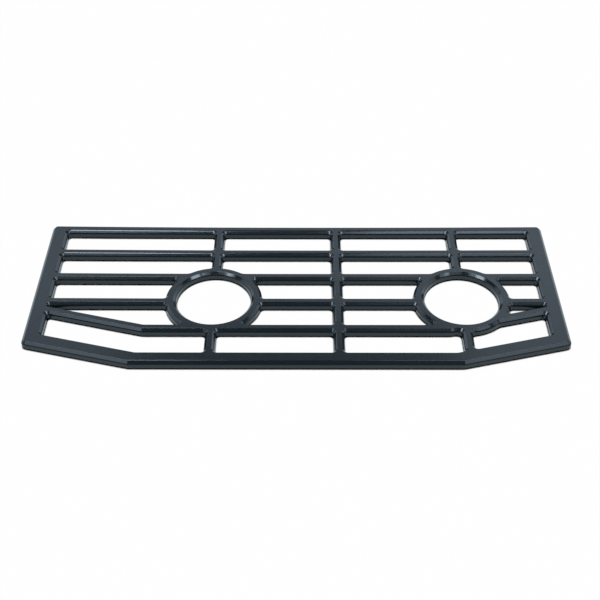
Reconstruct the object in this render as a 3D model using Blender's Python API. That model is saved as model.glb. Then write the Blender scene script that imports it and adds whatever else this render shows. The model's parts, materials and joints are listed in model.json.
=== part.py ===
"""Grille of a drip tray: one plastic moulding with two round cup rings.

It lies flat with its underside on z = 0 and its front towards -Y, centred on the origin.
In plan it is a rim with cut-off front corners, cross bars, ribs and two rings on the ribs.
Each slot between them is a loop of walls with filleted corners. The loop is drawn at the foot
of the wall and at both edges of the chamfer above it, and the bands between these loops are the
wall and the chamfer of the slot.

Plan points are complex numbers, x + yj, so a quarter turn to the left is a factor of 1j.
"""
import cmath
import math
from collections import namedtuple

import bmesh
import bpy

MM = 0.001

# Rim
WIDTH = 351.1 * MM
DEPTH = 140.8 * MM
THICKNESS = 6.0 * MM
SIDE_RAIL = 11.9 * MM
BACK_RAIL = 7.85 * MM
FRONT_RAIL = 11.0 * MM
SLANTED_RAIL = 11.6 * MM
CUT_FROM_SIDE = 70.25 * MM      # reach of a cut-off front corner along the front
CUT_FROM_FRONT = 18.25 * MM     # and along the side
SIDE_CORNER = 3.5 * MM
BACK_CORNER = 4.0 * MM

# Cross bars, as many as the pitch leaves room for
BAR = 7.1 * MM
BAR_PITCH = 25.8 * MM
FRONT_BAR_Y = 33.3 * MM         # centre of the front bar, from the front of the rim
STRAIGHT_BAR = 197.7 * MM       # straight stretch of the front bar, between its two bends
WEDGE_END = 1.4 * MM            # slot left at the side rail between the first two bars

# Ribs from front to back
RIB = 7.0 * MM
RIB_PITCH = 82.7 * MM
RIB_FROM_SIDE = 65.35 * MM      # centre of the right-hand rib, from the right side of the rim

# Cup rings on the two outer ribs
RING_HOLE = 49.8 * MM           # diameter
RING_BAND = 7.4 * MM

# Edges and corners
EDGE_CHAMFER = 2.0 * MM         # at 45 degrees along the top edge of every slot and ring hole
RIM_CHAMFER = 2.1 * MM          # and around the outside
CORNER_REACH = 1.8 * MM         # length of wall that the fillet in a slot's corner takes
BEND_REACH = 0.5 * MM           # and the one at a bend of a bar or rail

# Most that a fillet or a chamfer may take of the wall that it lies on
FILLET_SHARE = 0.45

# Facets
CORNER_STEPS = 3
BEND_STEPS = 1
ARC_STEPS = 6
HOLE_STEPS = 48

# Finish of the plastic
SLATE = (0.036, 0.045, 0.053, 1.0)
ROUGHNESS = 0.42

Wall = namedtuple("Wall", "start heading")      # straight, with the slot on its left
Ring = namedtuple("Ring", "centre radius")      # outside of a cup ring, passed clockwise


def dot(a, b):
    return (a.conjugate() * b).real


def cross(a, b):
    return (a.conjugate() * b).imag


def wall_between(start, end):
    return Wall(start, (end - start) / abs(end - start))


def along_x(y, way):
    return Wall(complex(0, y), complex(way, 0))


def along_y(x, way):
    return Wall(complex(x, 0), complex(0, way))


def mirrored(wall):
    """The wall on the other side of the grille, with its slot on the left again."""
    return Wall(-wall.start.conjugate(), wall.heading.conjugate())


def moved(edge, distance):
    """The same edge moved into its slot."""
    if isinstance(edge, Ring):
        return edge._replace(radius=edge.radius + distance)
    return edge._replace(start=edge.start + 1j * edge.heading * distance)


def turned_back(walls):
    """The same line of walls, walked the other way."""
    return [wall._replace(heading=-wall.heading) for wall in reversed(walls)]


def ring_crossing(wall, ring, sign):
    """Where a straight wall cuts a ring: sign -1 for the first point along it, 1 for the last."""
    to_centre = ring.centre - wall.start
    half_chord = math.sqrt(ring.radius ** 2 - cross(wall.heading, to_centre) ** 2)
    return wall.start + wall.heading * (dot(wall.heading, to_centre) + sign * half_chord)


def crossing(edge, following):
    """The sharp corner between an edge and the one after it."""
    if isinstance(following, Ring):
        return ring_crossing(edge, following, -1)
    if isinstance(edge, Ring):
        return ring_crossing(following, edge, 1)
    gap = following.start - edge.start
    run = cross(gap, following.heading) / cross(edge.heading, following.heading)
    return edge.start + run * edge.heading


def nearest(edge, point):
    if isinstance(edge, Ring):
        spoke = point - edge.centre
        return edge.centre + spoke * (edge.radius / abs(spoke))
    return edge.start + edge.heading * dot(edge.heading, point - edge.start)


def heading_at(edge, point):
    if isinstance(edge, Ring):
        return -1j * (point - edge.centre)
    return edge.heading


def followed(edges):
    """Each edge with the one after it, round the loop."""
    return list(zip(edges, edges[1:] + edges[:1]))


def is_bend(edge, following):
    """Whether a wall runs on into the next one, and doesn't turn a corner of the slot."""
    if isinstance(edge, Ring) or isinstance(following, Ring):
        return False
    return dot(edge.heading, following.heading) > abs(cross(edge.heading, following.heading))


def fillets(edges):
    """Fillet radius at the end of each edge, negative where the wall turns away from its slot."""
    corners = [crossing(*pair) for pair in followed(edges)]
    lengths = [abs(corner - corners[k - 1]) for k, corner in enumerate(corners)]
    radii = []
    for pair, corner, both in zip(followed(edges), corners, followed(lengths)):
        turn = cmath.phase(heading_at(pair[1], corner) / heading_at(pair[0], corner))
        reach = BEND_REACH if is_bend(*pair) else CORNER_REACH
        radii.append(min(reach, FILLET_SHARE * min(both)) / math.tan(turn / 2))
    return radii


def corner_points(edge, following, radius):
    centre = crossing(moved(edge, radius), moved(following, radius))
    spoke = nearest(edge, centre) - centre
    turn = cmath.phase((nearest(following, centre) - centre) / spoke)
    steps = BEND_STEPS if is_bend(edge, following) else CORNER_STEPS
    return [centre + spoke * cmath.rect(1.0, turn * k / steps) for k in range(steps + 1)]


def arc_points(ring, start, end):
    """Points on a ring between two others, without these."""
    spoke = start - ring.centre
    turn = cmath.phase((end - ring.centre) / spoke)
    return [ring.centre + spoke * cmath.rect(1.0, turn * k / ARC_STEPS) for k in range(1, ARC_STEPS)]


def loop_points(edges, radii, inset):
    """Closed loop along the edges, all moved inwards by the inset."""
    inner = [moved(edge, inset) for edge in edges]
    corners = [corner_points(*pair, radius - inset) for pair, radius in zip(followed(inner), radii)]
    points = []
    for k, edge in enumerate(inner):
        if isinstance(edge, Ring):
            points += arc_points(edge, corners[k - 1][-1], corners[k][0])
        points += corners[k]
    return points


def hole_points(centre, radius):
    return [centre + cmath.rect(radius, math.tau * k / HOLE_STEPS) for k in range(HOLE_STEPS)]


def edge_profile(chamfer, *widths):
    """Height and setback up a wall and its chamfer, which leaves some of each width beside it."""
    limited = min(chamfer, FILLET_SHARE * min(THICKNESS, *widths))
    return [(0.0, 0.0), (THICKNESS - limited, 0.0), (THICKNESS, limited)]


# Lines of the plan
FRONT = -DEPTH / 2
INNER_X = WIDTH / 2 - SIDE_RAIL
BACK_INNER = DEPTH / 2 - BACK_RAIL
RIB_X = [WIDTH / 2 - RIB_FROM_SIDE - k * RIB_PITCH for k in (2, 1, 0)]
RING_RADIUS = RING_HOLE / 2 + RING_BAND
RING_Y = FRONT + FRONT_BAR_Y - BAR / 2 + RING_RADIUS    # the front of a ring lies in the front bar
RING_CENTRES = [complex(RIB_X[0], RING_Y), complex(RIB_X[2], RING_Y)]


def bar_centres():
    """Y of each bar from the front one back, as long as a slot as wide as a bar is left behind it."""
    y = FRONT + FRONT_BAR_Y
    while y + BAR / 2 + BAR < BACK_INNER:
        yield y
        y += BAR_PITCH


def bent_line(straight, slant):
    """Line of walls across the grille, walked to the right, with the slant on both sides."""
    return [mirrored(slant), straight, slant]


def rim_front():
    bend = complex(WIDTH / 2 - CUT_FROM_SIDE, FRONT)
    side = complex(WIDTH / 2, FRONT + CUT_FROM_FRONT)
    return bent_line(along_x(FRONT, 1), wall_between(bend, side))


def rim_outline():
    left_slant, front, right_slant = rim_front()
    edges = [front, right_slant, along_y(WIDTH / 2, 1)]
    edges += [along_x(DEPTH / 2, -1), along_y(-WIDTH / 2, -1), left_slant]
    radii = fillets(edges)
    radii[1:5] = [SIDE_CORNER, BACK_CORNER, BACK_CORNER, SIDE_CORNER]
    return edges, radii


def row_lines():
    """Front and back line of every row of slots, from the front of the grille to its back."""
    _, front, slant = rim_front()
    rail = bent_line(moved(front, FRONT_RAIL), moved(slant, SLANTED_RAIL))

    bars = list(bar_centres())
    bend = complex(STRAIGHT_BAR / 2, bars[0] + BAR / 2)
    end = complex(INNER_X, bars[1] - BAR / 2 - WEDGE_END)
    front_bar = bent_line(along_x(bend.imag, 1), wall_between(bend, end))

    fronts = [rail, front_bar] + [[along_x(y + BAR / 2, 1)] for y in bars[1:]]
    backs = [[moved(wall, -BAR) for wall in front_bar]]
    backs += [[along_x(y - BAR / 2, 1)] for y in bars[1:]] + [[along_x(BACK_INNER, 1)]]
    return list(zip(fronts, backs))


def stretch(line, left, right):
    """The walls of a line that reach between two places along x."""
    bends = [crossing(*pair).real for pair in zip(line, line[1:])]
    starts = [-math.inf] + bends
    ends = bends + [math.inf]
    return [wall for wall, start, end in zip(line, starts, ends) if start < right and end > left]


def around_ring(edges, ring):
    """The loop with the ring in place of the corners that lie inside it."""
    inside = [abs(crossing(*pair) - ring.centre) < ring.radius for pair in followed(edges)]
    loop = []
    for k, edge in enumerate(edges):
        if not (inside[k - 1] and inside[k]):
            loop.append(edge)
        if inside[k] and not inside[k - 1]:
            loop.append(ring)
    return loop


def slots():
    """Edges of every slot, anticlockwise: front walls, right, back walls, left."""
    rings = [Ring(centre, RING_RADIUS) for centre in RING_CENTRES]
    lefts = [-INNER_X] + [x + RIB / 2 for x in RIB_X]
    rights = [x - RIB / 2 for x in RIB_X] + [INNER_X]
    for front, back in row_lines():
        for left, right in zip(lefts, rights):
            edges = stretch(front, left, right) + [along_y(right, 1)]
            edges += turned_back(stretch(back, left, right)) + [along_y(left, -1)]
            for ring in rings:
                edges = around_ring(edges, ring)
            if edges:
                yield edges


def add_band(mesh, loops, heights):
    """Walls through loops of plan points at rising heights. Returns the lowest and highest edges."""
    levels = [[mesh.verts.new((p.real, p.imag, z)) for p in loop] for loop, z in zip(loops, heights)]
    for lower, upper in zip(levels, levels[1:]):
        for k in range(len(lower)):
            mesh.faces.new((lower[k - 1], lower[k], upper[k], upper[k - 1]))
    ends = []
    for level in (levels[0], levels[-1]):
        ends.append([mesh.edges.get((level[k - 1], level[k])) for k in range(len(level))])
    return ends


def grille_mesh():
    mesh = bmesh.new()
    bands = []

    rails = (SIDE_RAIL, BACK_RAIL, FRONT_RAIL, SLANTED_RAIL)
    corner_widths = (2 * SIDE_CORNER, 2 * BACK_CORNER)
    profile = edge_profile(RIM_CHAMFER, *rails, *corner_widths)
    edges, radii = rim_outline()
    bands.append(([loop_points(edges, radii, setback) for z, setback in profile], profile))

    profile = edge_profile(EDGE_CHAMFER, BAR, RIB, RING_BAND, *rails)
    for edges in slots():
        radii = fillets(edges)
        bands.append(([loop_points(edges, radii, -setback) for z, setback in profile], profile))
    for centre in RING_CENTRES:
        bands.append(([hole_points(centre, RING_HOLE / 2 + setback) for z, setback in profile], profile))

    bottom_edges = []
    top_edges = []
    for loops, profile in bands:
        bottom, top = add_band(mesh, loops, [z for z, setback in profile])
        bottom_edges += bottom
        top_edges += top
    bmesh.ops.triangle_fill(mesh, use_beauty=True, edges=bottom_edges, normal=(0, 0, -1))
    bmesh.ops.triangle_fill(mesh, use_beauty=True, edges=top_edges, normal=(0, 0, 1))
    bmesh.ops.recalc_face_normals(mesh, faces=mesh.faces)
    return mesh


def slate_plastic():
    material = bpy.data.materials.new("slate_plastic")
    material.use_nodes = True
    shader = material.node_tree.nodes["Principled BSDF"]
    shader.inputs["Base Color"].default_value = SLATE
    shader.inputs["Roughness"].default_value = ROUGHNESS
    shader.inputs["Metallic"].default_value = 0.0
    return material


def main():
    for obj in list(bpy.data.objects):
        bpy.data.objects.remove(obj, do_unlink=True)

    mesh = grille_mesh()
    data = bpy.data.meshes.new("drip_grille")
    mesh.to_mesh(data)
    mesh.free()
    data.shade_smooth()
    data.set_sharp_from_angle(angle=math.radians(40))
    data.materials.append(slate_plastic())
    grille = bpy.data.objects.new("drip_grille", data)
    bpy.context.scene.collection.objects.link(grille)
    print("drip_grille:", len(data.polygons), "faces")


main()
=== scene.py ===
# %% [markdown]
# # A drip-tray grille in slate-grey plastic
#
# The object is one injection moulding: a flat rim with cut-off front corners, four cross bars,
# three ribs and two round cup rings. A grille of this kind lies over the drip tray of a drinks
# machine. Nothing on it moves, so the whole visual model is one mesh on one body.
#
# The imported model comes first. It is the frame that the looks are fitted to.

# %% Load the imported model
import cmath
import json
import math
from collections import namedtuple

import bmesh
import bpy
from mathutils import Matrix, Vector

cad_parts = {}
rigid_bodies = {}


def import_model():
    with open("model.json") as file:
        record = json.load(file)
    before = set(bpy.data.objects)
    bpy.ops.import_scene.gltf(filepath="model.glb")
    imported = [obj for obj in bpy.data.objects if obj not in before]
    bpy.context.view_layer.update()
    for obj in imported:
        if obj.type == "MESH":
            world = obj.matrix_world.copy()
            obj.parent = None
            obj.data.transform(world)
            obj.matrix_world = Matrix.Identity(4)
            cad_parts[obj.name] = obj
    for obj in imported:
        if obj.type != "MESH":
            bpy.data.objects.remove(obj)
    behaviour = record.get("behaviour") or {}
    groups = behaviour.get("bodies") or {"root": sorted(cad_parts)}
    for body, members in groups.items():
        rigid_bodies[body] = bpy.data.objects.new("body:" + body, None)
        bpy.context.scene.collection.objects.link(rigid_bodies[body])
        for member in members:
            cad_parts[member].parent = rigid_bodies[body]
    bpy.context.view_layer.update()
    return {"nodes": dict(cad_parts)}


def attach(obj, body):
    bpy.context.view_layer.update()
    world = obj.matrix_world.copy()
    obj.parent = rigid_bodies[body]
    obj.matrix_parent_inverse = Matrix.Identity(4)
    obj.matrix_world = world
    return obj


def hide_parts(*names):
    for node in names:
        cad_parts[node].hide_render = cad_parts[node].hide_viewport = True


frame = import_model()
print("CAD nodes:", sorted(frame["nodes"]))

# %% [markdown]
# ## Sizes of the moulding
#
# The sizes repeat those of the CAD model, so that the visual mesh covers the same solid. A named
# value for each makes the later steps readable. What is finer here is the count of facets, because
# a highlight on a rounded edge shows every facet that a sharp eye can find.

# %% Sizes
MM = 0.001
WIDTH, DEPTH, THICKNESS = 351.1 * MM, 140.8 * MM, 6.0 * MM
SIDE_RAIL, BACK_RAIL, FRONT_RAIL, SLANTED_RAIL = 11.9 * MM, 7.85 * MM, 11.0 * MM, 11.6 * MM
CUT_FROM_SIDE, CUT_FROM_FRONT = 70.25 * MM, 18.25 * MM
SIDE_CORNER, BACK_CORNER = 3.5 * MM, 4.0 * MM
BAR, BAR_PITCH, FRONT_BAR_Y = 7.1 * MM, 25.8 * MM, 33.3 * MM
STRAIGHT_BAR, WEDGE_END = 197.7 * MM, 1.4 * MM
RIB, RIB_PITCH, RIB_FROM_SIDE = 7.0 * MM, 82.7 * MM, 65.35 * MM
RING_HOLE, RING_BAND = 49.8 * MM, 7.4 * MM
EDGE_CHAMFER, RIM_CHAMFER = 2.0 * MM, 2.1 * MM
CORNER_REACH, BEND_REACH, FILLET_SHARE = 1.8 * MM, 0.5 * MM, 0.45

CORNER_STEPS, BEND_STEPS, WALL_STEPS, ARC_STEPS, HOLE_STEPS = 10, 4, 12, 28, 180

FRONT = -DEPTH / 2
INNER_X = WIDTH / 2 - SIDE_RAIL
BACK_INNER = DEPTH / 2 - BACK_RAIL
RIB_X = [WIDTH / 2 - RIB_FROM_SIDE - k * RIB_PITCH for k in (2, 1, 0)]
RING_RADIUS = RING_HOLE / 2 + RING_BAND
RING_Y = FRONT + FRONT_BAR_Y - BAR / 2 + RING_RADIUS
RING_CENTRES = [complex(RIB_X[0], RING_Y), complex(RIB_X[2], RING_Y)]
print("ribs at x in mm:", [round(x / MM, 1) for x in RIB_X], "rings at y", round(RING_Y / MM, 1))

# %% [markdown]
# ## The plan of a slot
#
# On the real part the bars are what is left between slots, and every slot has the same kind of
# edge. So the plan is drawn as slots: each is a loop of straight walls, and of arcs where it
# passes a cup ring. One could also model bars and join them with booleans, but a boolean often
# leaves ragged edges, and the rounds and fillets would have to be bevelled afterwards.
#
# A plan point is a complex number, x + yj. A quarter turn to the left is then a factor of 1j.

# %% Walls, rings and where they cross
Wall = namedtuple("Wall", "start heading")
Ring = namedtuple("Ring", "centre radius")


def dot(a, b):
    return (a.conjugate() * b).real


def cross(a, b):
    return (a.conjugate() * b).imag


def wall_between(start, end):
    return Wall(start, (end - start) / abs(end - start))


def along_x(y, way):
    return Wall(complex(0, y), complex(way, 0))


def along_y(x, way):
    return Wall(complex(x, 0), complex(0, way))


def mirrored(wall):
    return Wall(-wall.start.conjugate(), wall.heading.conjugate())


def moved(edge, distance):
    """The same edge moved to its left, which is into its slot."""
    if isinstance(edge, Ring):
        return edge._replace(radius=edge.radius + distance)
    return edge._replace(start=edge.start + 1j * edge.heading * distance)


def ring_crossing(wall, ring, sign):
    to_centre = ring.centre - wall.start
    half_chord = math.sqrt(ring.radius ** 2 - cross(wall.heading, to_centre) ** 2)
    return wall.start + wall.heading * (dot(wall.heading, to_centre) + sign * half_chord)


def crossing(edge, following):
    """The sharp corner between an edge and the one after it."""
    if isinstance(following, Ring):
        return ring_crossing(edge, following, -1)
    if isinstance(edge, Ring):
        return ring_crossing(following, edge, 1)
    gap = following.start - edge.start
    run = cross(gap, following.heading) / cross(edge.heading, following.heading)
    return edge.start + run * edge.heading


print("a wall 1 mm further in:", moved(along_x(0, 1), 1 * MM).start / MM)

# %% [markdown]
# ## Fillets
#
# Where two walls of a slot meet, the mould has a small fillet, and where a bar or rail bends there
# is a slight one too. One radius for all would be simpler, but it would take far more from a sharp
# corner than from a flat one. So a fillet is given by its reach, the length that it takes from
# either wall, and on a short wall it takes no more than a share.

# %% Fillets
def heading_at(edge, point):
    return -1j * (point - edge.centre) if isinstance(edge, Ring) else edge.heading


def followed(edges):
    return list(zip(edges, edges[1:] + edges[:1]))


def is_bend(edge, following):
    if isinstance(edge, Ring) or isinstance(following, Ring):
        return False
    return dot(edge.heading, following.heading) > abs(cross(edge.heading, following.heading))


def fillets(edges):
    """Fillet radius at the end of each edge, negative where the wall turns away from its slot."""
    corners = [crossing(*pair) for pair in followed(edges)]
    lengths = [abs(corner - corners[k - 1]) for k, corner in enumerate(corners)]
    radii = []
    for pair, corner, both in zip(followed(edges), corners, followed(lengths)):
        turn = cmath.phase(heading_at(pair[1], corner) / heading_at(pair[0], corner))
        reach = BEND_REACH if is_bend(*pair) else CORNER_REACH
        radii.append(min(reach, FILLET_SHARE * min(both)) / math.tan(turn / 2))
    return radii


square_slot = [along_x(0, 1), along_y(BAR_PITCH, 1), along_x(BAR_PITCH, -1), along_y(0, -1)]
print("fillets of a square slot in mm:", [round(radius / MM, 2) for radius in fillets(square_slot)])

# %% [markdown]
# ## Loops
#
# A fillet is an arc about the point that lies at its radius from both walls. A bevel could round the
# corners of a finished mesh as well. Here the same loop is drawn again and again, moved by a setback,
# and that only needs the same arcs with other radii. So the points of neighbouring loops stay
# opposite each other, ready to be joined into bands.

# %% Filleted loops
def nearest(edge, point):
    if isinstance(edge, Ring):
        spoke = point - edge.centre
        return edge.centre + spoke * (edge.radius / abs(spoke))
    return edge.start + edge.heading * dot(edge.heading, point - edge.start)


def corner_points(edge, following, radius):
    centre = crossing(moved(edge, radius), moved(following, radius))
    spoke = nearest(edge, centre) - centre
    turn = cmath.phase((nearest(following, centre) - centre) / spoke)
    steps = BEND_STEPS if is_bend(edge, following) else CORNER_STEPS
    return [centre + spoke * cmath.rect(1.0, turn * k / steps) for k in range(steps + 1)]


def points_between(edge, start, end):
    """Points on an edge between two others, without these."""
    if isinstance(edge, Ring):
        spoke = start - edge.centre
        turn = cmath.phase((end - edge.centre) / spoke)
        turns = [cmath.rect(1.0, turn * k / ARC_STEPS) for k in range(1, ARC_STEPS)]
        return [edge.centre + spoke * part for part in turns]
    return [start + (end - start) * k / WALL_STEPS for k in range(1, WALL_STEPS)]


def loop_points(edges, radii, inset):
    """Closed loop along the edges, all moved inwards by the inset."""
    inner = [moved(edge, inset) for edge in edges]
    corners = [corner_points(*pair, radius - inset) for pair, radius in zip(followed(inner), radii)]
    points = []
    for k, edge in enumerate(inner):
        points += points_between(edge, corners[k - 1][-1], corners[k][0])
        points += corners[k]
    return points


print("points round a square slot:", len(loop_points(square_slot, fillets(square_slot), 0.0)))

# %% [markdown]
# ## Rim and rows
#
# The front rail and the front bar bend back towards the sides, at about 15 degrees. The other bars
# are straight. The bars could be placed one by one, but they share one pitch, and a loop keeps it.
# Each line along a bar or rail is a list of walls, three or one, so that the same code draws the
# slots beside a bent bar and beside a straight one.

# %% Rim outline and rows of slots
def bent_line(straight, slant):
    return [mirrored(slant), straight, slant]


def rim_front():
    bend = complex(WIDTH / 2 - CUT_FROM_SIDE, FRONT)
    side = complex(WIDTH / 2, FRONT + CUT_FROM_FRONT)
    return bent_line(along_x(FRONT, 1), wall_between(bend, side))


def rim_outline():
    left_slant, front, right_slant = rim_front()
    edges = [front, right_slant, along_y(WIDTH / 2, 1)]
    edges += [along_x(DEPTH / 2, -1), along_y(-WIDTH / 2, -1), left_slant]
    radii = fillets(edges)
    radii[1:5] = [SIDE_CORNER, BACK_CORNER, BACK_CORNER, SIDE_CORNER]
    return edges, radii


def bar_centres():
    y = FRONT + FRONT_BAR_Y
    while y + BAR / 2 + BAR < BACK_INNER:
        yield y
        y += BAR_PITCH


def row_lines():
    """Front and back line of every row of slots, from the front of the grille to its back."""
    _, front, slant = rim_front()
    rail = bent_line(moved(front, FRONT_RAIL), moved(slant, SLANTED_RAIL))
    bars = list(bar_centres())
    bend = complex(STRAIGHT_BAR / 2, bars[0] + BAR / 2)
    end = complex(INNER_X, bars[1] - BAR / 2 - WEDGE_END)
    front_bar = bent_line(along_x(bend.imag, 1), wall_between(bend, end))
    fronts = [rail, front_bar] + [[along_x(y + BAR / 2, 1)] for y in bars[1:]]
    backs = [[moved(wall, -BAR) for wall in front_bar]]
    backs += [[along_x(y - BAR / 2, 1)] for y in bars[1:]] + [[along_x(BACK_INNER, 1)]]
    return list(zip(fronts, backs))


print("bars at y in mm:", [round(y / MM, 1) for y in bar_centres()])

# %% [markdown]
# ## Slots
#
# Between the front line and the back line of a row, the ribs and the side rails close four slots. A
# cup ring takes the place of the corners that lie inside it. The rings could be cut in at the end,
# but that is a boolean again, so the loop of a slot is led round its ring from the start.

# %% Slots
def turned_back(walls):
    return [wall._replace(heading=-wall.heading) for wall in reversed(walls)]


def stretch(line, left, right):
    """The walls of a line that reach between two places along x."""
    bends = [crossing(*pair).real for pair in zip(line, line[1:])]
    starts, ends = [-math.inf] + bends, bends + [math.inf]
    return [wall for wall, start, end in zip(line, starts, ends) if start < right and end > left]


def around_ring(edges, ring):
    """The loop with the ring in place of the corners that lie inside it."""
    inside = [abs(crossing(*pair) - ring.centre) < ring.radius for pair in followed(edges)]
    loop = []
    for k, edge in enumerate(edges):
        if not (inside[k - 1] and inside[k]):
            loop.append(edge)
        if inside[k] and not inside[k - 1]:
            loop.append(ring)
    return loop


def slots():
    """Row and edges of every slot, anticlockwise: front walls, right, back walls, left."""
    rings = [Ring(centre, RING_RADIUS) for centre in RING_CENTRES]
    lefts = [-INNER_X] + [x + RIB / 2 for x in RIB_X]
    rights = [x - RIB / 2 for x in RIB_X] + [INNER_X]
    for row, (front, back) in enumerate(row_lines()):
        for left, right in zip(lefts, rights):
            edges = stretch(front, left, right) + [along_y(right, 1)]
            edges += turned_back(stretch(back, left, right)) + [along_y(left, -1)]
            for ring in rings:
                edges = around_ring(edges, ring)
            if edges:
                yield row, edges


print("slots:", len(list(slots())))

# %% [markdown]
# ## The edge in section
#
# From the underside up, a wall starts with a small round at its foot, rises plain and ends in a
# chamfer at 45 degrees. The two edges of the chamfer are softened, as a mould never leaves them
# sharp. A bevel could make these too, but drawn level by level they keep their exact normals.
#
# Each level of the section is a height, a setback into the plastic and the angle of the surface
# there. The angle gives the shading normal, so that a chamfer shines as one flat facet and its soft
# edges as true rounds.

# %% Section of the edge
Level = namedtuple("Level", "height setback angle")
CHAMFER_ANGLE = 45.0
FOOT_ROUND, FOOT_STEPS = 1.3 * MM, 6
LOWER_ROUND, LOWER_STEPS = 1.9 * MM, 6
SOFTNESS, RIM_SOFTNESS, UPPER_STEPS = 0.3 * MM, 0.4 * MM, 5


def arc_levels(height, setback, radius, start, end, steps):
    """Levels round an arc about a centre, between two angles in degrees."""
    for step in range(steps + 1):
        angle = math.radians(start + (end - start) * step / steps)
        yield Level(height + radius * math.sin(angle), setback - radius * math.cos(angle), angle)


def edge_section(chamfer, upper_round):
    """Levels of a wall and its chamfer, whose upper edge has the round given."""
    reach = math.tan(math.radians(CHAMFER_ANGLE / 2))
    low = THICKNESS - chamfer - LOWER_ROUND * reach
    levels = list(arc_levels(FOOT_ROUND, FOOT_ROUND, FOOT_ROUND, -90, 0, FOOT_STEPS))
    levels += arc_levels(low, LOWER_ROUND, LOWER_ROUND, 0, CHAMFER_ANGLE, LOWER_STEPS)
    levels += arc_levels(THICKNESS - upper_round, chamfer + upper_round * reach, upper_round,
                         CHAMFER_ANGLE, 90, UPPER_STEPS)
    return levels


print("levels in a section:", len(edge_section(EDGE_CHAMFER, SOFTNESS)))

# %% [markdown]
# ## Bands of the walls
#
# Every outline becomes a band of quads, level by level. At each point the way out of the plastic
# is found by drawing the same outline a hair deeper, which works for walls, arcs and fillets alike.
# A band has two sections, a plain one and one for walls that face the front, and it blends from the
# first to the second as its wall turns.

# %% Bands
NUDGE = 0.01 * MM


def hole_points(centre, radius):
    return [centre + cmath.rect(radius, math.tau * k / HOLE_STEPS) for k in range(HOLE_STEPS)]


def add_band(mesh, loop_at, sections, normals):
    """Quads through the loops of one edge. Returns the open edges below and above."""
    rings = []
    for plain, front in zip(*sections):
        ring = []
        setbacks = (plain.setback, front.setback, plain.setback + NUDGE)
        for point, front_point, deeper in zip(*[loop_at(setback) for setback in setbacks]):
            out = (point - deeper) / abs(point - deeper)
            front_share = max(0.0, -out.imag)
            point += front_share * (front_point - point)
            height = plain.height + front_share * (front.height - plain.height)
            out *= math.cos(plain.angle)
            ring.append(mesh.verts.new((point.real, point.imag, height)))
            normals.append((out.real, out.imag, math.sin(plain.angle)))
        rings.append(ring)
    for lower, upper in zip(rings, rings[1:]):
        for k in range(len(lower)):
            mesh.faces.new((lower[k - 1], lower[k], upper[k], upper[k - 1]))
    return [[mesh.edges.get((ring[k - 1], ring[k])) for k in range(len(ring))]
            for ring in (rings[0], rings[-1])]


print("points round a cup hole:", len(hole_points(0, RING_HOLE / 2)))

# %% [markdown]
# ## Outlines and their sections
#
# In the photo a broad highlight runs along the front of the back rail and of the bar before it, and
# only a thin one along the other bars. A paler stripe in the material would look like it from one
# side only. So the edges that face the front are softened row by row, most at the back.

# %% Outlines and their sections
# One value for each row of slots, from the front to the back.
ROW_SOFTNESS = [0.22 * MM, 0.2 * MM, 0.22 * MM, 1.4 * MM, 1.8 * MM]


def section_pair(chamfer, softness, front_softness):
    return edge_section(chamfer, softness), edge_section(chamfer, front_softness)


def outline_loops():
    """A function from setback to loop for the rim, each slot and each cup hole, with its sections."""
    edges, radii = rim_outline()
    rim = section_pair(RIM_CHAMFER, RIM_SOFTNESS, RIM_SOFTNESS)
    yield (lambda setback, e=edges, r=radii: loop_points(e, r, setback)), rim
    for row, edges in slots():
        radii = fillets(edges)
        sections = section_pair(EDGE_CHAMFER, SOFTNESS, ROW_SOFTNESS[row])
        yield (lambda setback, e=edges, r=radii: loop_points(e, r, -setback)), sections
    for centre in RING_CENTRES:
        sections = section_pair(EDGE_CHAMFER, SOFTNESS, SOFTNESS)
        yield (lambda setback, c=centre: hole_points(c, RING_HOLE / 2 + setback)), sections


print("outlines:", len(list(outline_loops())))

# %% [markdown]
# ## One moulding
#
# The flat top and the underside are filled between the bands. Filling comes last because it only
# needs the edges that are still open.
#
# A wide thin moulding never comes out quite flat. In the photo the bars rise a little towards the
# back corners, most on the left, so the finished mesh is lifted there by about a millimetre.

# %% Grille mesh
LIFT_LEFT, LIFT_RIGHT = 1.1 * MM, 0.8 * MM


def lift(x, y):
    """How far the moulding stands off the floor at a plan point."""
    most = LIFT_LEFT if x < 0 else LIFT_RIGHT
    return most * (2 * x / WIDTH) ** 2 * (y / DEPTH + 0.5)


def grille_mesh():
    mesh = bmesh.new()
    normals, below, above = [], [], []
    for loop_at, sections in outline_loops():
        low, high = add_band(mesh, loop_at, sections, normals)
        below += low
        above += high
    bmesh.ops.triangle_fill(mesh, use_beauty=True, edges=below, normal=(0, 0, -1))
    bmesh.ops.triangle_fill(mesh, use_beauty=True, edges=above, normal=(0, 0, 1))
    bmesh.ops.recalc_face_normals(mesh, faces=mesh.faces)
    for vert in mesh.verts:
        vert.co.z += lift(vert.co.x, vert.co.y)
    data = bpy.data.meshes.new("grille_moulding")
    mesh.to_mesh(data)
    mesh.free()
    data.shade_smooth()
    data.normals_split_custom_set_from_vertices(normals)
    return data


moulding = bpy.data.objects.new("grille_moulding", grille_mesh())
bpy.context.scene.collection.objects.link(moulding)
print("moulding:", len(moulding.data.vertices), "points,", len(moulding.data.polygons), "faces")

# %% [markdown]
# ## Small helpers for nodes
#
# A node tree reads better when each node is made in one line: its type, its plain settings, and
# then what is plugged into its inputs. Three kinds of node come up again and again, so each has a
# helper that returns its output.

# %% Node helpers
UNIT = (0.0, 1.0)
WHITE = (1.0, 1.0, 1.0, 1.0)


def add_node(tree, kind, inputs=None, **settings):
    """A node with its settings. An input is a value, or the output of another node."""
    node = tree.nodes.new(kind)
    for name, value in settings.items():
        setattr(node, name, value)
    for name, value in (inputs or {}).items():
        if isinstance(value, bpy.types.NodeSocket):
            tree.links.new(value, node.inputs[name])
        else:
            node.inputs[name].default_value = value
    return node


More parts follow.
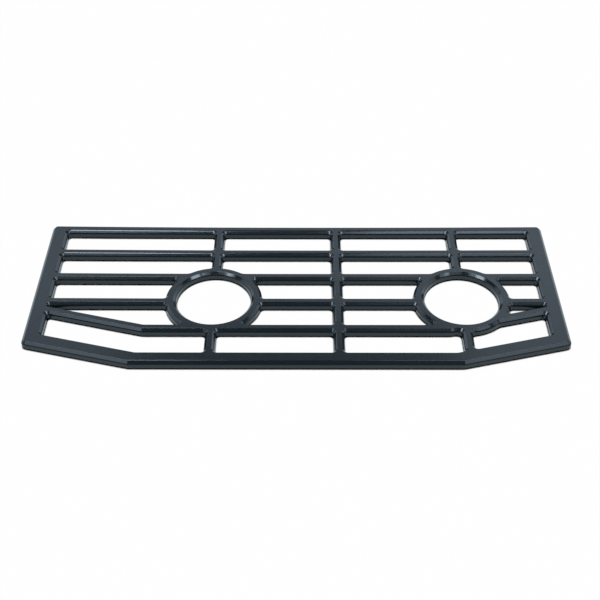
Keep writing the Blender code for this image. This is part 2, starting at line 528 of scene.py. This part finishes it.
def reckon(tree, operation, *values):
    return add_node(tree, "ShaderNodeMath", dict(enumerate(values)), operation=operation).outputs[0]


def ranged(tree, value, given, wanted):
    """The value, held inside one range and moved to another."""
    inputs = {"Value": value, "From Min": given[0], "From Max": given[1]}
    inputs |= {"To Min": wanted[0], "To Max": wanted[1]}
    return add_node(tree, "ShaderNodeMapRange", inputs).outputs["Result"]


def blend(tree, share, first, second):
    """Two colours in one. The Mix node keeps its colours at inputs 6 and 7 and output 2."""
    inputs = {0: share, 6: first, 7: second}
    return add_node(tree, "ShaderNodeMix", inputs, data_type="RGBA").outputs[2]


def new_group(name, inputs, outputs):
    """An empty shader group with float inputs and outputs, and its two end nodes."""
    tree = bpy.data.node_groups.new(name, "ShaderNodeTree")
    for label, value in inputs.items():
        socket = tree.interface.new_socket(label, in_out="INPUT", socket_type="NodeSocketFloat")
        socket.default_value = value
    for label in outputs:
        tree.interface.new_socket(label, in_out="OUTPUT", socket_type="NodeSocketFloat")
    return tree, tree.nodes.new("NodeGroupInput"), tree.nodes.new("NodeGroupOutput")


print("node helpers:", [helper.__name__ for helper in (add_node, reckon, ranged, blend, new_group)])

# %% [markdown]
# ## Moulded grain
#
# The mould of such a part is often spark-eroded, which leaves a fine even grain on the plastic. Its
# pits are a few tenths of a millimetre across. They could be modelled, but not with a sensible number
# of faces, so noise at that scale gives the height for a bump. A slower noise stands for the uneven
# flow of the plastic, which shows as soft mottling. The chamfers and walls are smoother, so a third
# output marks the flat top, which alone has the grain.

# %% Grain group
PITS_PER_METRE, PIT_DETAIL, PIT_ROUGHNESS = 3200.0, 2.0, 0.55
MOTTLE_PER_METRE, MOTTLE_DETAIL, MOTTLE_ROUGHNESS = 420.0, 3.0, 0.6
# How upright the normal is where the flat top begins, and from where it counts in full.
TOP_UPRIGHT = (0.985, 0.9998)


def noise(tree, place, scale, detail, roughness):
    inputs = {"Vector": place, "Scale": scale, "Detail": detail, "Roughness": roughness}
    return add_node(tree, "ShaderNodeTexNoise", inputs).outputs["Fac"]


def grain_group():
    scales = {"Pits per metre": PITS_PER_METRE, "Mottle per metre": MOTTLE_PER_METRE}
    tree, given, out = new_group("moulded_grain", scales, ["Height", "Mottle", "Top"])
    place = add_node(tree, "ShaderNodeTexCoord").outputs["Object"]
    pits = noise(tree, place, given.outputs["Pits per metre"], PIT_DETAIL, PIT_ROUGHNESS)
    mottle = noise(tree, place, given.outputs["Mottle per metre"], MOTTLE_DETAIL, MOTTLE_ROUGHNESS)
    normal = add_node(tree, "ShaderNodeNewGeometry").outputs["Normal"]
    upright = add_node(tree, "ShaderNodeSeparateXYZ", {"Vector": normal}).outputs["Z"]
    tree.links.new(pits, out.inputs["Height"])
    tree.links.new(mottle, out.inputs["Mottle"])
    tree.links.new(ranged(tree, upright, TOP_UPRIGHT, UNIT), out.inputs["Top"])
    return tree


GRAIN = grain_group()
print("group:", GRAIN.name)

# %% [markdown]
# ## Slate plastic
#
# The plastic is a dark blue-grey with a satin surface. Its colour is almost black by itself, and
# most of what one sees is the pale surroundings in its thin gloss. A paler colour would lift the
# shaded walls as well, so it is kept dark, and the roughness and grain decide the look. The top is
# mottled and grained, the chamfers and walls are even.

# %% Slate plastic
SLATE = (0.0066, 0.0148, 0.0212, 1.0)
SLATE_PALE = (0.0092, 0.0190, 0.0265, 1.0)
PLASTIC_IOR = 1.5
CHAMFER_ROUGHNESS = 0.14
MOTTLE_SPREAD, TOP_ROUGHNESS = (0.3, 0.7), (0.13, 0.18)
GRAIN_STRENGTH, GRAIN_DEPTH = 0.25, 0.04 * MM


def slate_plastic():
    material = bpy.data.materials.new("slate_plastic")
    material.use_nodes = True
    tree = material.node_tree
    grain = add_node(tree, "ShaderNodeGroup", node_tree=GRAIN).outputs
    colour = blend(tree, grain["Mottle"], SLATE, SLATE_PALE)
    top_roughness = ranged(tree, grain["Mottle"], MOTTLE_SPREAD, TOP_ROUGHNESS)
    roughness = ranged(tree, grain["Top"], UNIT, (CHAMFER_ROUGHNESS, top_roughness))
    strength = ranged(tree, grain["Top"], UNIT, (0.0, GRAIN_STRENGTH))
    bump = add_node(tree, "ShaderNodeBump", {
        "Height": grain["Height"], "Strength": strength, "Distance": GRAIN_DEPTH})
    shader = tree.nodes["Principled BSDF"]
    shader.inputs["IOR"].default_value = PLASTIC_IOR
    tree.links.new(colour, shader.inputs["Base Color"])
    tree.links.new(roughness, shader.inputs["Roughness"])
    tree.links.new(bump.outputs["Normal"], shader.inputs["Normal"])
    return material


moulding.data.materials.append(slate_plastic())
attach(moulding, "root")
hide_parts("drip_grille")
print("finish:", moulding.data.materials[0].name)

# %% [markdown]
# ## White ground
#
# The photo's ground is plain white. A sheet that is only lit turns grey where the light falls off, so
# the ground here is partly a glow. A helper says how much of the white a ray sees: all of it from
# the camera, a part of it in the gloss. The gloss of the walls sees a little over half of it, and a
# cooler one, because in the photo the walls mirror the ground no brighter than that.

# %% How much white a ray sees
SHOWN_WHITE, GLOSSY_WHITE = 0.985, 0.58
GLOSSY_TINT = (0.84, 1.05, 1.16, 1.0)


def white_share(tree, rays, shown, in_gloss):
    mirrored_rays = reckon(tree, "MAXIMUM", rays["Is Glossy Ray"], rays["Is Transmission Ray"])
    seen = reckon(tree, "MULTIPLY", rays["Is Camera Ray"], shown)
    return reckon(tree, "MULTIPLY_ADD", mirrored_rays, in_gloss, seen)


print("share of white for the camera:", SHOWN_WHITE, "and in the gloss:", GLOSSY_WHITE)

# %% [markdown]
# ## Floor
#
# The floor is a pale matte sheet. For rays from the camera most of it glows at a strength of one,
# which is white, and the rest is lit like any matte surface and keeps the shadow. Where the walls
# meet the ground, the photo has a thin dark line. The shadow alone is too soft for it, so ambient
# occlusion paints extra shade into both the glow and the paper close to the walls.

# %% Floor
FLOOR_DROP, FLOOR_SIDE, PAPER_WHITE = 0.1 * MM, 6.0, 0.92
CONTACT_REACH, CONTACT_SAMPLES = 1.8 * MM, 12
# How open the ground is where the painted contact shade is full, and where it ends.
PAINTED_SHADE_SPAN = (0.5, 0.75)


def floor_paper():
    material = bpy.data.materials.new("floor_paper")
    material.use_nodes = True
    tree = material.node_tree
    tree.nodes.clear()
    rays = add_node(tree, "ShaderNodeLightPath").outputs
    near = add_node(tree, "ShaderNodeAmbientOcclusion", {"Distance": CONTACT_REACH},
                    samples=CONTACT_SAMPLES)
    # Painted shade: ambient occlusion darkens the paper colour and the glow close to the walls.
    painted_contact_shade = ranged(tree, near.outputs["AO"], PAINTED_SHADE_SPAN, UNIT)
    paper = add_node(tree, "ShaderNodeBsdfDiffuse", {
        "Color": reckon(tree, "MULTIPLY", painted_contact_shade, PAPER_WHITE)})
    glow = add_node(tree, "ShaderNodeEmission", {
        "Color": blend(tree, rays["Is Camera Ray"], GLOSSY_TINT, WHITE), "Strength": painted_contact_shade})
    share = white_share(tree, rays, SHOWN_WHITE, GLOSSY_WHITE)
    mix = add_node(tree, "ShaderNodeMixShader", {0: share, 1: paper.outputs[0], 2: glow.outputs[0]})
    add_node(tree, "ShaderNodeOutputMaterial", {"Surface": mix.outputs[0]})
    return material


def sheet_mesh(name, width, height, material):
    w, h = width / 2, height / 2
    data = bpy.data.meshes.new(name)
    data.from_pydata([(-w, -h, 0), (w, -h, 0), (w, h, 0), (-w, h, 0)], [], [(0, 1, 2, 3)])
    data.materials.append(material)
    return data


floor = bpy.data.objects.new("floor", sheet_mesh("floor", FLOOR_SIDE, FLOOR_SIDE, floor_paper()))
floor.location.z = -FLOOR_DROP
bpy.context.scene.collection.objects.link(floor)
print("floor:", FLOOR_SIDE, "m square")

# %% [markdown]
# ## Lamp
#
# The plastic is so dark that its look is mostly what it mirrors. So the studio has two parts: a lamp
# for the light, and cards for the gloss. Several small lamps would each add a shadow, so there is
# one broad lamp overhead. It lights everything evenly, at a level where a colour renders about as
# it is written.

# %% Lamp
LAMP_HEIGHT, LAMP_SIDE, LAMP_SHINE = 1.2, 2.4, 1.15


def overhead_lamp():
    """Square lamp that faces down. Its shine is its brightness, with 1 as white."""
    lamp = bpy.data.lights.new("overhead", "AREA")
    lamp.size = LAMP_SIDE
    lamp.energy = LAMP_SHINE * math.pi * LAMP_SIDE ** 2
    box = bpy.data.objects.new("overhead", lamp)
    box.location.z = LAMP_HEIGHT
    box.visible_camera = False
    box.visible_glossy = False
    bpy.context.scene.collection.objects.link(box)


overhead_lamp()
print("lamps:", sum(thing.type == "LIGHT" for thing in bpy.data.objects))

# %% [markdown]
# ## Cards
#
# A photographer puts white cards round a dark glossy object, and its edges mirror them. Lamps could
# do that as well, but they would also change the light level. These cards are glowing sheets that
# only mirrored rays see, so they can be moved for the highlights alone.

# %% Cards
COOL = (0.85, 0.98, 1.13, 1.0)
MIDDLE = (0.0, 0.0, 0.0)


def card_paper(name, shine):
    """Cool white glow, whose strength may run from one end of the card to the other."""
    material = bpy.data.materials.new(name)
    material.use_nodes = True
    tree = material.node_tree
    tree.nodes.clear()
    place = add_node(tree, "ShaderNodeTexCoord").outputs["Generated"]
    across = add_node(tree, "ShaderNodeSeparateXYZ", {"Vector": place}).outputs["X"]
    glow = add_node(tree, "ShaderNodeEmission", {
        "Color": COOL, "Strength": ranged(tree, across, UNIT, shine)})
    add_node(tree, "ShaderNodeOutputMaterial", {"Surface": glow.outputs[0]})
    return material


def card(name, centre, size, shine, facing=MIDDLE):
    """A card seen only in the gloss. Its shine is one value, or one for either end."""
    ends = shine if isinstance(shine, tuple) else (shine, shine)
    sheet = bpy.data.objects.new(name, sheet_mesh(name, *size, card_paper(name, ends)))
    turn = (Vector(facing) - Vector(centre)).to_track_quat("Z", "Y")
    sheet.matrix_world = Matrix.Translation(centre) @ turn.to_matrix().to_4x4()
    sheet.visible_camera = False
    sheet.visible_diffuse = False
    sheet.visible_transmission = False
    sheet.visible_volume_scatter = False
    sheet.visible_shadow = False
    bpy.context.scene.collection.objects.link(sheet)


def upright_card(name, x, y, z, size, shine):
    """A card that stands along the grille and faces it squarely."""
    card(name, (x, y, z), size, shine, facing=(x, 0.0, z))


def count_cards():
    print("cards so far:", sum(thing.name.startswith("card_") for thing in bpy.data.objects))


count_cards()

# %% [markdown]
# ### Behind
#
# Behind stands the wide card that the flat tops mirror. One even card would do for an even top, but
# in the photo the tops are paler to the right, so this one is brighter there. The dim brow above it
# darkens the tops towards the front, and paler brows keep the two ends of the grille from that.

# %% Cards behind
BEHIND, BACK_HEIGHT, BROW_HEIGHT = 1.5, 1.16, 1.57

upright_card("card_back", 0.11, BEHIND, BACK_HEIGHT, (1.38, 0.46), (0.92, 1.34))
upright_card("card_back_left", -0.80, BEHIND, BACK_HEIGHT, (0.44, 0.46), 1.10)
upright_card("card_brow", 0.0, BEHIND, BROW_HEIGHT, (0.84, 0.36), 0.22)
upright_card("card_brow_left", -0.79, BEHIND, BROW_HEIGHT, (0.68, 0.36), 0.90)
upright_card("card_brow_right", 0.76, BEHIND, BROW_HEIGHT, (0.70, 0.36), 1.12)
count_cards()

# %% [markdown]
# ### Beside the camera
#
# On either side of the camera a small bright card makes the glints in the corners of the slots and
# on the rings. A larger card would spread them out. Fainter cards below light the slanted
# chamfers and the front of the right ring.

# %% Cards beside the camera
card("card_left", (-1.14, -0.74, 1.46), (0.67, 0.40), 10.5)
card("card_right", (1.18, -0.76, 1.43), (0.69, 0.35), 9.0)
card("card_slant_left", (-1.15, -1.17, 1.10), (0.42, 0.66), 1.9)
card("card_slant_right", (1.13, -1.19, 1.12), (0.42, 0.66), 1.8)
card("card_fill_right", (1.15, -0.70, 0.92), (0.42, 0.44), 1.7)
count_cards()

# %% [markdown]
# ### Overhead and in front
#
# Overhead and high in front hang the cards that draw the lines along the chamfers. One wide card
# would light them from end to end. So there is a dark gap between left and right, because in the
# photo these lines fade in the middle of the grille.

# %% Cards overhead and in front
CEILING, IN_FRONT = 1.6, -1.2

card("card_over_left", (-0.44, -0.40, CEILING), (0.44, 1.20), 12.0, facing=(-0.44, -0.40, 0.0))
card("card_over_right", (0.50, -0.10, CEILING), (0.66, 1.20), 2.6, facing=(0.50, -0.10, 0.0))
upright_card("card_high_left", -0.82, IN_FRONT, 1.93, (0.82, 0.80), 1.7)
upright_card("card_high_right", 0.51, IN_FRONT, 1.97, (0.74, 0.70), 5.4)
upright_card("card_front_right", 0.53, IN_FRONT, 1.42, (0.74, 0.32), 0.50)
count_cards()

# %% [markdown]
# ### At the sides
#
# At the sides and low behind stand cards for the chamfers of the ribs, the side rails and the rings.
# Left and right stand opposite each other, so a loop places both.

# %% Cards at the sides
for name, way, shine in (("left", -1, 1.25), ("right", 1, 1.2)):
    card("card_side_" + name, (2.0 * way, 0.4, 0.68), (2.0, 1.05), shine, facing=(0.0, 0.4, 0.68))
for name, way, shine in (("left", -1, 1.3), ("right", 1, 1.3)):
    card("card_low_" + name, (1.3 * way, BEHIND, 0.33), (1.5, 0.80), shine, facing=(0.0, 0.0, 0.33))
count_cards()

# %% [markdown]
# ## Room
#
# The room behind the floor is white for the camera too, so that a low view shows no horizon. A plain
# white world would do that, but it would also fill every shadow. So its light on the object stays
# dim, and the gloss sees next to nothing of it, because the plastic in the photo is dark wherever it
# mirrors no card.

# %% World
ROOM_LIGHT, ROOM_GLOSSY = 0.08, 0.03


def white_room():
    world = bpy.data.worlds.new("room")
    world.use_nodes = True
    tree = world.node_tree
    rays = add_node(tree, "ShaderNodeLightPath").outputs
    share = white_share(tree, rays, 1.0, ROOM_GLOSSY)
    room = tree.nodes["Background"]
    room.inputs["Color"].default_value = WHITE
    tree.links.new(ranged(tree, share, UNIT, (ROOM_LIGHT, 1.0)), room.inputs["Strength"])
    return world


bpy.context.scene.world = white_room()
bpy.context.scene.view_settings.view_transform = "Standard"
print("room light:", ROOM_LIGHT)

# %% [markdown]
# ## Camera
#
# The camera stands in front, 41 degrees above the floor, about 0.7 m away. A longer lens further
# away would give the same size, but the back rail would look longer. So the lens follows from how
# much the back rail is shortened against the front one.

# %% Camera
LENS, SENSOR = 63.72, 36.0
AIM = Vector((2.32 * MM, -4.16 * MM, 0.0))
DISTANCE = 714.2 * MM
RISE, SWING = math.radians(41.0), math.radians(-0.1)


def studio_camera():
    lens = bpy.data.cameras.new("camera")
    lens.sensor_width = SENSOR
    lens.sensor_fit = "HORIZONTAL"
    lens.lens = LENS
    camera = bpy.data.objects.new("camera", lens)
    ahead = Vector((math.sin(SWING), math.cos(SWING), 0.0))
    look = math.cos(RISE) * ahead - Vector((0.0, 0.0, math.sin(RISE)))
    side = Vector((math.cos(SWING), -math.sin(SWING), 0.0))
    rise = side.cross(look)
    turn = Matrix((side, rise, -look)).transposed()
    camera.matrix_world = Matrix.Translation(AIM - DISTANCE * look) @ turn.to_4x4()
    bpy.context.scene.collection.objects.link(camera)
    return camera


bpy.context.scene.camera = studio_camera()
print("camera at", [round(v, 3) for v in bpy.context.scene.camera.matrix_world.translation])
